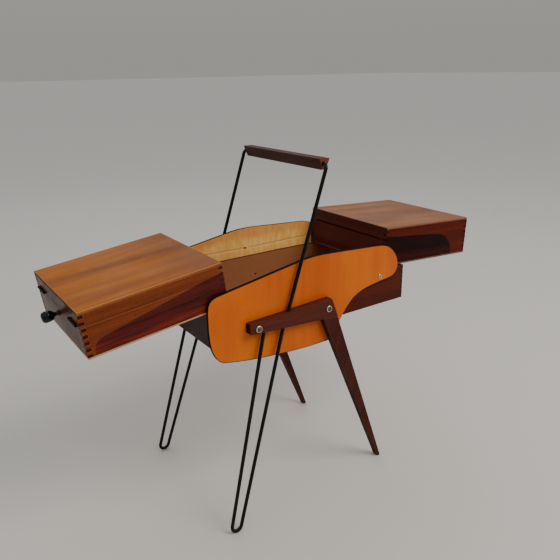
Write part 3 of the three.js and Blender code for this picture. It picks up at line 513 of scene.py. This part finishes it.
# painted highlight: the eased edges of bar, leg and grip are coloured lighter for the light they
# catch
highlit_stand_edge = varnished_wood("stand_edge_painted_highlight", "x", (0.11, 0.034, 0.022),
                              (0.07, 0.021, 0.014), (0.05, 0.02, 0.014), gloss=0.4)
stand_edge = 0.0012
grip_edge = 0.0010
for side in ("front", "rear"):
    ease_edges(f"{side}_bar", stand_edge, bar_wood, highlit_stand_edge, segments=3)
    ease_edges(f"{side}_leg", stand_edge, leg_wood, highlit_stand_edge, segments=3, sharp=20.0)
ease_edges("grip", grip_edge, grip_wood, highlit_stand_edge, segments=3)


# ---------------------------------------------------------------- steel rods
# Each rod is one length of 7 mm steel, lacquered black. It runs from inside the grip down through
# the side bar, round a hairpin at the floor, and back up into the underside of the bar.

def lacquer(name, colour, gloss, unevenness, metallic=0.0, shine=0.5, chips=None):
    """Paint, lacquer or bare metal with handling marks, and chips of another colour if given."""
    material, tree, surface = new_material(name)
    here = add_node(tree, "TexCoord").outputs["Object"]
    marks = add_node(tree, "Group", {"Place": here, "Gloss": gloss, "Unevenness": unevenness},
                     node_tree=handling)
    mottle = add_node(tree, "TexNoise", {"Vector": here, "Scale": 60.0, "Detail": 4.0})
    base = combine(tree, tint(colour), tint(colour, 0.6),
                   smooth_step(tree, mottle.outputs["Fac"], 0.35, 0.7))
    if chips:
        wear_and_shade = add_node(tree, "TexNoise", {"Vector": here, "Scale": 420.0, "Detail": 3.0})
        base = combine(tree, base, tint(chips),
                       smooth_step(tree, wear_and_shade.outputs["Fac"], 0.70, 0.74))
    base = combine(tree, base, (0.30, 0.28, 0.26, 1.0),
                   sum_up(tree, "MULTIPLY", marks.outputs["Dust"], 0.05))
    tree.links.new(base, surface.inputs["Base Color"])
    tree.links.new(marks.outputs["Roughness"], surface.inputs["Roughness"])
    tree.links.new(add_node(tree, "Bump", {"Height": mottle.outputs["Fac"], "Strength": 0.08,
                                           "Distance": 0.0002}).outputs["Normal"],
                   surface.inputs["Normal"])
    surface.inputs["Metallic"].default_value = metallic
    surface.inputs["Specular IOR Level"].default_value = shine
    return material


def rounded_run(corners, turn_step=0.12):
    """The points of a run of straight lengths, each inner corner rounded to its own radius."""
    points = [Vector(corners[0][0])]
    for before, (corner, radius), after in zip(corners, corners[1:-1], corners[2:]):
        corner = Vector(corner)
        back = (Vector(before[0]) - corner).normalized()
        on = (Vector(after[0]) - corner).normalized()
        angle = back.angle(on)
        centre = corner + (back + on).normalized() * radius / math.sin(angle / 2)
        spoke = corner + back * radius / math.tan(angle / 2) - centre
        axis = on.cross(back).normalized()
        turn = math.pi - angle
        steps = max(3, math.ceil(turn / turn_step))
        for step in range(steps + 1):
            points.append(centre + Matrix.Rotation(turn * step / steps, 3, axis) @ spoke)
    points.append(Vector(corners[-1][0]))
    return points


def bent_rod(name, points, radius, sides=20):
    """A round rod along points: a disc, drawn out ring by ring and closed at its far end."""
    mesh = bmesh.new()
    heading = (points[1] - points[0]).normalized()
    turned = heading.to_track_quat("Z", "Y")
    start = bmesh.ops.create_circle(mesh, cap_ends=True, radius=radius, segments=sides)
    bmesh.ops.transform(mesh, verts=start["verts"],
                        matrix=Matrix.Translation(points[0]) @ turned.to_matrix().to_4x4())
    rim = list(mesh.edges)
    for i in range(1, len(points)):
        if i < len(points) - 1:
            next_heading = (points[i + 1] - points[i - 1]).normalized()
        else:
            next_heading = (points[i] - points[i - 1]).normalized()
        drawn = bmesh.ops.extrude_edge_only(mesh, edges=rim)["geom"]
        ring = [part for part in drawn if isinstance(part, bmesh.types.BMVert)]
        rim = [part for part in drawn if isinstance(part, bmesh.types.BMEdge)
               and all(v in ring for v in part.verts)]
        swing = heading.rotation_difference(next_heading).to_matrix().to_4x4()
        bmesh.ops.transform(mesh, verts=ring, matrix=Matrix.Translation(points[i]) @ swing
                            @ Matrix.Translation(-points[i - 1]))
        heading = next_heading
    bmesh.ops.contextual_create(mesh, geom=rim)
    return finished(mesh, name, 40.0)


def finished(mesh, name, sharp_angle=32.0):
    """The bmesh as a scene object, facing out, smooth but for its sharp edges."""
    bmesh.ops.remove_doubles(mesh, verts=mesh.verts, dist=1e-7)
    bmesh.ops.recalc_face_normals(mesh, faces=mesh.faces)
    for face in mesh.faces:
        face.smooth = True
    for edge in mesh.edges:
        if len(edge.link_faces) == 2 and edge.calc_face_angle() > math.radians(sharp_angle):
            edge.smooth = False
    data = bpy.data.meshes.new(name)
    mesh.to_mesh(data)
    mesh.free()
    piece = bpy.data.objects.new(name, data)
    bpy.context.scene.collection.objects.link(piece)
    return piece


black_lacquer = lacquer("black_lacquer", (0.0045, 0.0042, 0.0042), 0.20, 0.14, shine=0.16,
                        chips=(0.04, 0.035, 0.03))
rod_radius = 0.0035
left_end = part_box("lower_box_left_wall")[0].x
rod_side = (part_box("front_bar")[0].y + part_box("front_bar")[1].y) / 2
grip_low, grip_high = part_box("grip")
foot_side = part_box("front_rod")[0].y + rod_radius
rod_bend, rod_ease, hairpin_bend = 0.009, 0.060, 0.0104
top_x, in_grip, top_drop = left_end + 0.2365, 0.022, 0.010
foot_x = left_end + 0.0005
rod_corners = [
    ((top_x, grip_low.y + in_grip, grip_high.z - top_drop), 0),
    ((top_x, rod_side, grip_high.z - top_drop), rod_bend),
    # into the top of the bar, and out of its underside
    ((left_end + 0.148, rod_side, 0.417), rod_ease),
    ((left_end + 0.136, rod_side, 0.388098), rod_ease),
    # round the floor, and back into the underside
    ((foot_x + hairpin_bend, foot_side, rod_radius), hairpin_bend),
    ((foot_x - hairpin_bend, foot_side, rod_radius), hairpin_bend),
    ((left_end + 0.093, rod_side, 0.391022), rod_ease),
    ((left_end + 0.096099, rod_side, 0.404022), 0),
]
for side, mirror in (("front", 1), ("rear", -1)):
    route = rounded_run([((x, y * mirror, z), radius) for (x, y, z), radius in rod_corners])
    rod = bent_rod(f"{side}_bent_rod", route, rod_radius)
    rod.data.materials.append(black_lacquer)
    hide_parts(f"{side}_rod")
    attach(rod, "base")


# ---------------------------------------------------------------- bolts, washers and screws
# Two slotted bolts in cup washers hold each bar, panel and box wall together, all nickel-plated,
# and one brass screw holds the panel's tongue.

def spun(name, profile, place, direction, sides=48, sharp_angle=32.0):
    """A turned piece. Its profile is (radius, distance out) in metres, from its axis back to it
    or round to its start, and it points along direction from place."""
    mesh = bmesh.new()
    rail = [mesh.verts.new((radius, 0.0, out)) for radius, out in profile]
    edges = [mesh.edges.new(pair) for pair in zip(rail, rail[1:])]
    bmesh.ops.spin(mesh, geom=rail + edges, cent=(0, 0, 0), axis=(0, 0, 1), angle=2 * math.pi,
                   steps=sides, use_merge=True)
    bmesh.ops.remove_doubles(mesh, verts=mesh.verts, dist=1e-7)
    bmesh.ops.dissolve_degenerate(mesh, dist=1e-8, edges=mesh.edges)
    aim = Vector(direction).to_track_quat("Z", "Y").to_matrix().to_4x4()
    bmesh.ops.transform(mesh, verts=mesh.verts, matrix=Matrix.Translation(place) @ aim)
    return finished(mesh, name, sharp_angle)


def cut_driver_slot(piece, centre, direction, tilt, width=0.0013, depth=0.001):
    """Cuts a screwdriver slot across a head, at the angle tilt, and makes the cut final."""
    cutter_mesh = bmesh.new()
    bmesh.ops.create_cube(cutter_mesh, size=1.0, matrix=Matrix.Diagonal(
        (0.02, width, 2 * depth, 1.0)))
    aim = Vector(direction).to_track_quat("Z", "Y").to_matrix().to_4x4()
    bmesh.ops.transform(cutter_mesh, verts=cutter_mesh.verts,
                        matrix=Matrix.Translation(centre) @ aim @ Matrix.Rotation(tilt, 4, "Z"))
    cutter = finished(cutter_mesh, "driver_slot_cutter")
    cut = piece.modifiers.new("driver_slot", "BOOLEAN")
    cut.object = cutter
    cut.operation = "DIFFERENCE"
    bpy.context.view_layer.update()
    shaped = bpy.data.meshes.new_from_object(
        piece.evaluated_get(bpy.context.evaluated_depsgraph_get()))
    piece.modifiers.clear()
    piece.data = shaped
    bpy.data.objects.remove(cutter)


nickel = lacquer("nickel_plate", (0.60, 0.50, 0.40), 0.16, 0.16, metallic=1.0,
                 chips=(0.25, 0.19, 0.12))
dull_nickel = lacquer("dull_bolt_head", (0.125, 0.098, 0.075), 0.34, 0.2, metallic=1.0,
                      chips=(0.05, 0.035, 0.025))
brass = lacquer("brass", (0.60, 0.43, 0.17), 0.24, 0.18, metallic=1.0, chips=(0.2, 0.12, 0.05))

MM = 0.001
DOME = [(4.2, 0.8), (4.2, 1.9), (3.95, 2.4), (3.3, 2.85), (2.3, 3.08), (1.1, 3.18), (0.0, 3.2)]
BOLT = [(0.0, -29.3), (2.2, -29.3), (2.5, -29.0), (2.5, 0.8)] + DOME
CUP = [(2.8, 0.3), (6.6, 0.3), (7.0, 0.5), (6.9, 1.1), (6.4, 1.75), (5.8, 2.15), (5.2, 2.3),
       (4.75, 2.25), (4.5, 1.9), (4.5, 0.5), (2.8, 0.5), (2.8, 0.3)]
SCREW = [(0.0, -13.0), (1.9, -11.0), (1.9, 0.3), (5.9, 0.3), (6.2, 0.5), (6.2, 0.85), (5.6, 1.3),
         (4.5, 1.75), (3.0, 2.1), (1.5, 2.27), (0.0, 2.3)]
for side, out in (("front", -1), ("rear", 1)):
    facing_out = (0, out, 0)
    for place, tilt in (("left", 0.5), ("right", 1.15)):
        low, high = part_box(f"{side}_{place}_washer")
        seat = Vector(((low.x + high.x) / 2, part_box(f"{side}_bar")[0 if out < 0 else 1].y,
                       (low.z + high.z) / 2))
        bolt = spun(f"{side}_{place}_slotted_bolt", [(r * MM, d * MM) for r, d in BOLT], seat,
                    facing_out)
        cut_driver_slot(bolt, seat + Vector(facing_out) * 3.2 * MM, facing_out, tilt)
        bolt.data.materials.append(dull_nickel)
        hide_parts(f"{side}_{place}_bolt")
        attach(bolt, "base")
        cup = spun(f"{side}_{place}_cup_washer", [(r * MM, d * MM) for r, d in CUP], seat,
                   facing_out)
        cup.data.materials.append(nickel)
        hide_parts(f"{side}_{place}_washer")
        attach(cup, "base")
    low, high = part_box(f"{side}_panel_screw")
    seat = Vector(((low.x + high.x) / 2, out * panel_outside, (low.z + high.z) / 2))
    screw = spun(f"{side}_slotted_screw", [(r * MM, d * MM) for r, d in SCREW], seat, facing_out)
    cut_driver_slot(screw, seat + Vector(facing_out) * 2.3 * MM, facing_out, 0.95)
    screw.data.materials.append(brass)
    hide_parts(f"{side}_panel_screw")
    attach(screw, "base")


# ---------------------------------------------------------------- trays
# Two lidded trays of the same mahogany, finger-jointed, with a plywood bottom glued under them.
# Shut, they stand between the side panels, which kept the wood behind them dark while the rest
# of each tray's long sides faded in the light. Each mask below is the panel's own top edge.

def levelling(side):
    """The (rotation, shift) that takes a pulled-out, tipped tray to its place when shut."""
    slide, tilt = joints[f"{side}_slide"], joints[f"{side}_tilt"]
    rest = Vector(tilt["pos_m"])
    shut = rest + Vector(slide["axis"]) * slide["range_m"][1]
    rotation = Euler((0.0, math.radians(tilt["range_deg"][1]) * tilt["axis"][1], 0.0))
    return rotation, shut - rotation.to_matrix() @ rest


tray_side = -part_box("left_tray_bottom")[0].y


def behind_panel(tree, level, softness=0.0012):
    """1 on a tray's long sides where the shut tray is behind a panel, 0 in the light."""
    axes = add_node(tree, "SeparateXYZ", {"Vector": level})
    along = share_along_panel(tree, axes.outputs["X"])
    height = outline_height(tree, along, top_edge)
    below = smooth_step(tree, sum_up(tree, "SUBTRACT", height, axes.outputs["Z"]),
                        -softness, softness)
    within = sum_up(tree, "MULTIPLY", sum_up(tree, "GREATER_THAN", along, 0.0),
                    sum_up(tree, "LESS_THAN", along, 1.0))
    outer_face = sum_up(tree, "GREATER_THAN", sum_up(tree, "ABSOLUTE", axes.outputs["Y"]),
                        tray_side - 0.0012)
    return sum_up(tree, "MULTIPLY", sum_up(tree, "MULTIPLY", below, within), outer_face), axes


def kept_dark(purple, red, red_from, red_to):
    """A cover for the long sides: behind the panel the wood stayed dark, and redder between two
    heights. purple and red are what the faded wood's own colour is multiplied by."""
    def cover(tree, level, facing, colour):
        share, axes = behind_panel(tree, level)
        wander = add_node(tree, "TexNoise", {
            "Vector": add_node(tree, "VectorMath", {0: level, 1: (6.0, 1.0, 60.0)},
                               operation="MULTIPLY").outputs[0], "Scale": 1.0, "Detail": 3.0})
        height = sum_up(tree, "MULTIPLY_ADD", wander.outputs["Fac"], 0.022,
                        sum_up(tree, "SUBTRACT", axes.outputs["Z"], 0.011))
        lower = smooth_step(tree, height, red_from - 0.006, red_from + 0.006)
        upper = smooth_step(tree, height, red_to - 0.008, red_to + 0.008)
        band = sum_up(tree, "MULTIPLY", lower, sum_up(tree, "SUBTRACT", 1.0, upper))
        kept = combine(tree, colour, combine(tree, tint(purple), tint(red), band), 1.0,
                       "MULTIPLY")
        dark_vein = add_node(tree, "TexNoise", {
            "Vector": add_node(tree, "VectorMath", {0: level, 1: (9.0, 1.0, 210.0)},
                               operation="MULTIPLY").outputs[0], "Scale": 1.0, "Detail": 2.0})
        kept = combine(tree, kept, (0.25, 0.16, 0.3, 1.0), sum_up(
            tree, "MULTIPLY", smooth_step(tree, dark_vein.outputs["Fac"], 0.48, 0.66), 0.75),
            "MULTIPLY")
        return combine(tree, colour, kept, share)
    return cover


def lid_tone_and_shade(far_colour, start, end, strength, sweep=None):
    """A cover for a lid: the wood turns towards far_colour from start to end along the box. On the
    left lid, the darkening towards its inner end is painted shade.
    """
    def cover(tree, level, facing, colour):
        axes = add_node(tree, "SeparateXYZ", {"Vector": level})
        drift = smooth_step(tree, axes.outputs["X"], min(start, end), max(start, end))
        if end < start:
            drift = sum_up(tree, "SUBTRACT", 1.0, drift)
        colour = combine(tree, colour, tint(far_colour), sum_up(tree, "MULTIPLY", drift, strength))
        if sweep:
            # one long darker flame that crosses the board at a slight angle
            centre, slope, width, dark = sweep
            line = sum_up(tree, "MULTIPLY_ADD", axes.outputs["X"], slope,
                          sum_up(tree, "SUBTRACT", axes.outputs["Y"], centre))
            waver = add_node(tree, "TexNoise", {
                "Vector": add_node(tree, "VectorMath", {0: level, 1: (5.0, 22.0, 1.0)},
                                   operation="MULTIPLY").outputs[0], "Scale": 1.0, "Detail": 3.0})
            off = sum_up(tree, "MULTIPLY_ADD", waver.outputs["Fac"], 0.06,
                         sum_up(tree, "SUBTRACT", line, 0.03))
            near = sum_up(tree, "SUBTRACT", 1.0,
                          smooth_step(tree, sum_up(tree, "ABSOLUTE", off), 0.0, width))
            colour = combine(tree, colour, tint(dark), sum_up(tree, "MULTIPLY", near, 0.55))
        return colour
    return cover


turns = {side: levelling(side) for side in ("left", "right")}
tray_end_grain = (0.055, 0.0140, 0.0090)
tray_edge, lid_edge = 0.0005, 0.0011
# edge_highlight and lid_edge are painted highlight: the eased edges of walls, rims and lids are
# coloured lighter for the light they catch
LOOKS = {
    "left": {
        "faded": ((0.260, 0.052, 0.009), (0.150, 0.026, 0.006)),
        "edge_highlight": ((0.42, 0.12, 0.035), (0.28, 0.075, 0.022)),
        "lid_edge": ((0.45, 0.19, 0.075), (0.31, 0.115, 0.042)),
        "shine": 0.15,
        "kept": kept_dark((0.46, 0.19, 0.70), (0.92, 0.42, 0.90), 0.4500, 0.4610),
        "lid": ((0.42, 0.124, 0.003), (0.27, 0.066, 0.0015)),
        # painted shade: the left lid darkens towards its inner end
        "drift": lid_tone_and_shade((0.16, 0.048, 0.006), -0.12, 0.0, 0.55,
                              sweep=(0.015, 0.10, 0.028, (0.13, 0.029, 0.003))),
        "outer": ((0.105, 0.031, 0.013), (0.068, 0.020, 0.009)),
        "inner_tips": (0.070, 0.0115, 0.0075),
        "ply": (0.50, 0.25, 0.10),
        "inner": ((0.075, 0.020, 0.014), (0.045, 0.012, 0.009)),
    },
    "right": {
        "faded": ((0.125, 0.0135, 0.0036), (0.062, 0.0058, 0.0021)),
        "edge_highlight": ((0.20, 0.040, 0.014), (0.12, 0.022, 0.009)),
        "lid_edge": ((0.26, 0.10, 0.045), (0.17, 0.06, 0.028)),
        "shine": 0.07,
        "kept": kept_dark((0.13, 0.12, 0.50), (0.36, 0.26, 0.90), 0.4520, 0.4660),
        "lid": ((0.335, 0.142, 0.066), (0.225, 0.092, 0.044)),
        "drift": lid_tone_and_shade((0.22, 0.072, 0.030), 0.15, 0.23, 0.50,
                              sweep=(-0.05, -0.12, 0.04, (0.15, 0.068, 0.045))),
        "outer": ((0.105, 0.032, 0.017), (0.068, 0.020, 0.011)),
        "inner": ((0.125, 0.028, 0.022), (0.078, 0.017, 0.014)),
        "inner_tips": (0.030, 0.0060, 0.0045),
        # painted shade: the right tray's plywood edges are coloured dark for the shade under the
        # tray
        "ply": (0.085, 0.022, 0.010),
    },
}
for side, looks in LOOKS.items():
    turn = turns[side]
    long_side = varnished_wood(f"{side}_tray_side", "x", *looks["faded"], tray_end_grain,
                               band_width=0.018, seed=11.0 if side == "left" else 17.0,
                               turn=turn, cover=looks["kept"], shine=looks["shine"],
                               pore_depth=0.9, streak_depth=0.45)
    # painted highlight on the eased edges of the long walls and rims
    highlit_side_edge = varnished_wood(f"{side}_highlit_side_edge", "x", *looks["edge_highlight"], tray_end_grain,
                                 seed=18.0, turn=turn, cover=looks["kept"], shine=looks["shine"])
    outer_end = varnished_wood(f"{side}_tray_outer_end", "y", *looks["outer"], tray_end_grain,
                               band_width=0.02, seed=12.0, turn=turn, gloss=0.14, shine=0.5,
                               bend_of_light=1.09)
    inner_end = varnished_wood(f"{side}_tray_inner_end", "y", *looks["inner"], looks["inner_tips"],
                               band_width=0.02, seed=13.0, turn=turn, shine=looks["shine"])
    lid_board = varnished_wood(f"{side}_lid_board", "x", *looks["lid"], (0.09, 0.035, 0.018),
                               band_width=0.03, waver=0.05, seed=14.0 if side == "left" else 19.0,
                               turn=turn, cover=looks["drift"], gloss=0.36, streak_depth=0.28,
                               shine=0.09)
    # painted highlight on the lids' eased edges
    highlit_lid_edge = varnished_wood(f"{side}_lid_edge_painted_highlight", "x", *looks["lid_edge"],
                                (0.16, 0.06, 0.03), turn=turn, gloss=0.4, streak_depth=0.2)
    tray_ply = plywood(f"{side}_tray_plywood", ply_face, (0.24, 0.11, 0.05), looks["ply"],
                       turn=turn)
    for part in ("tray_front_wall", "tray_rear_wall", "lid_front_rim", "lid_rear_rim"):
        ease_edges(f"{side}_{part}", tray_edge, long_side, highlit_side_edge)
    for part in ("tray_outer_wall", "lid_outer_rim"):
        ease_edges(f"{side}_{part}", tray_edge, outer_end, outer_end)
    for part in ("tray_inner_wall", "lid_inner_rim"):
        ease_edges(f"{side}_{part}", tray_edge, inner_end, inner_end)
    ease_edges(f"{side}_lid_top", lid_edge, lid_board, highlit_lid_edge, segments=3)
    ease_edges(f"{side}_tray_bottom", ply_edge, tray_ply, tray_ply)


# ---------------------------------------------------------------- knobs, hinges and guide pins
# A turned knob, sprayed gloss black, is glued into each tray's outer end. The lids hang on pairs
# of small brass butt hinges gone dark, and each tray runs on two steel guide pins.

knob_reach = 0.030
leaf_edge, pin_edge = 0.00015, 0.0003
knob_gloss = lacquer("knob_gloss", (0.0025, 0.0022, 0.0022), 0.05, 0.06, shine=0.4)
knob_gloss.node_tree.nodes["Principled BSDF"].inputs["IOR"].default_value = 1.4
KNOB = [(0.0, -7.7), (2.5, -7.7), (2.5, 0.3), (5.1, 0.3), (5.4, 0.6), (5.35, 1.2), (4.8, 1.9),
        (4.2, 2.6), (3.85, 3.6), (3.6, 4.8), (3.55, 6.2), (3.6, 7.0)]
KNOB_RADIUS, KNOB_LENGTH, KNOB_WIDEST, KNOB_NECK = 9.95, 29.9, 19.8, 7.0
for i in range(45):
    angle = math.radians(158.0) * (1 - i / 44)
    if angle > math.pi / 2:
        KNOB.append((KNOB_RADIUS * math.sin(angle),
                     KNOB_WIDEST + (KNOB_WIDEST - KNOB_NECK) * math.cos(angle)))
    else:
        # the outer end is blunter than a ball
        KNOB.append((KNOB_RADIUS * math.sin(angle) ** (2 / 3),
                     KNOB_WIDEST + (KNOB_LENGTH - KNOB_WIDEST) * math.cos(angle) ** (2 / 3)))
for side, out in (("left", -1), ("right", 1)):
    droop = joints[f"{side}_tilt"]["range_deg"][1]
    aim = Vector((out * math.cos(math.radians(droop)), 0.0, -math.sin(math.radians(droop))))
    tip = max((v.co for v in frame["nodes"][f"{side}_knob"].data.vertices), key=aim.dot)
    knob = spun(f"{side}_turned_knob", [(r * MM, d * MM) for r, d in KNOB],
                tip - aim * knob_reach, aim, sides=64, sharp_angle=42.0)
    knob.data.materials.append(knob_gloss)
    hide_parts(f"{side}_knob")
    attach(knob, f"{side}_tray")

aged_brass = lacquer("aged_brass", (0.022, 0.015, 0.010), 0.50, 0.2, metallic=0.6, shine=0.1,
                     chips=(0.11, 0.075, 0.04))
pin_steel = lacquer("pin_steel", (0.42, 0.42, 0.43), 0.26, 0.15, metallic=1.0,
                    chips=(0.16, 0.12, 0.09))
for side in ("left", "right"):
    for end in ("front", "rear"):
        for leaf in ("wall_leaf", "lid_leaf"):
            ease_edges(f"{side}_{end}_hinge_{leaf}", leaf_edge, aged_brass, aged_brass)
        ease_edges(f"{side}_{end}_pin", pin_edge, pin_steel, pin_steel)


# ---------------------------------------------------------------- floor, light and camera
# A plain pale floor, one large soft light from the front right above, and a weaker one behind.

floor_mesh = bmesh.new()
bmesh.ops.create_grid(floor_mesh, x_segments=1, y_segments=1, size=60.0,
                      matrix=Matrix.Translation((0.0, 0.0, -0.0002)))
floor = finished(floor_mesh, "floor")
floor_paint, _, floor_surface = new_material("pale_floor")
floor_surface.inputs["Base Color"].default_value = (0.585, 0.550, 0.505, 1.0)
floor_surface.inputs["Roughness"].default_value = 0.75
floor.data.materials.append(floor_paint)

world = bpy.data.worlds.new("studio")
world.use_nodes = True
sky = world.node_tree
rise = add_node(sky, "SeparateXYZ", {"Vector": add_node(sky, "TexCoord").outputs["Generated"]})
sky.links.new(combine(sky, (0.335, 0.322, 0.300, 1.0), (0.75, 0.77, 0.80, 1.0),
                      smooth_step(sky, rise.outputs["Z"], 0.0, 0.9)),
              sky.nodes["Background"].inputs["Color"])
bpy.context.scene.world = world


def soft_light(name, place, target, size, power, colour):
    """A round soft light at place, aimed at target."""
    lamp = bpy.data.lights.new(name, "AREA")
    lamp.shape, lamp.size, lamp.energy, lamp.color = "DISK", size, power, colour
    light = bpy.data.objects.new(name, lamp)
    light.location = place
    light.rotation_euler = (Vector(target) - Vector(place)).to_track_quat("-Z", "Y").to_euler()
    bpy.context.scene.collection.objects.link(light)


middle = ((cad_box[0] + cad_box[1]) / 2)
soft_light("key", (1.0, -2.2, 2.9), middle, 1.9, 72.0, (1.0, 0.97, 0.93))
soft_light("fill", (0.6, 2.2, 2.6), middle, 2.0, 12.0, (0.95, 0.97, 1.0))

camera = bpy.data.objects.new("camera", bpy.data.cameras.new("camera"))
camera_place = (-0.66794, -0.98221, 0.84302)
yaw, pitch, roll = math.radians(34.583), math.radians(19.471), math.radians(-0.9013)
ahead = Vector((math.sin(yaw) * math.cos(pitch), math.cos(yaw) * math.cos(pitch), -math.sin(pitch)))
right = Vector((math.cos(yaw), -math.sin(yaw), 0.0))
up = right.cross(ahead)
right, up = (right * math.cos(roll) + up * math.sin(roll),
             up * math.cos(roll) - right * math.sin(roll))
camera.matrix_world = (Matrix.Translation(camera_place)
                       @ Matrix((right, up, -ahead)).transposed().to_4x4())
camera.data.sensor_width = 36.0
camera.data.lens = 38.59
bpy.context.scene.collection.objects.link(camera)
bpy.context.scene.camera = camera
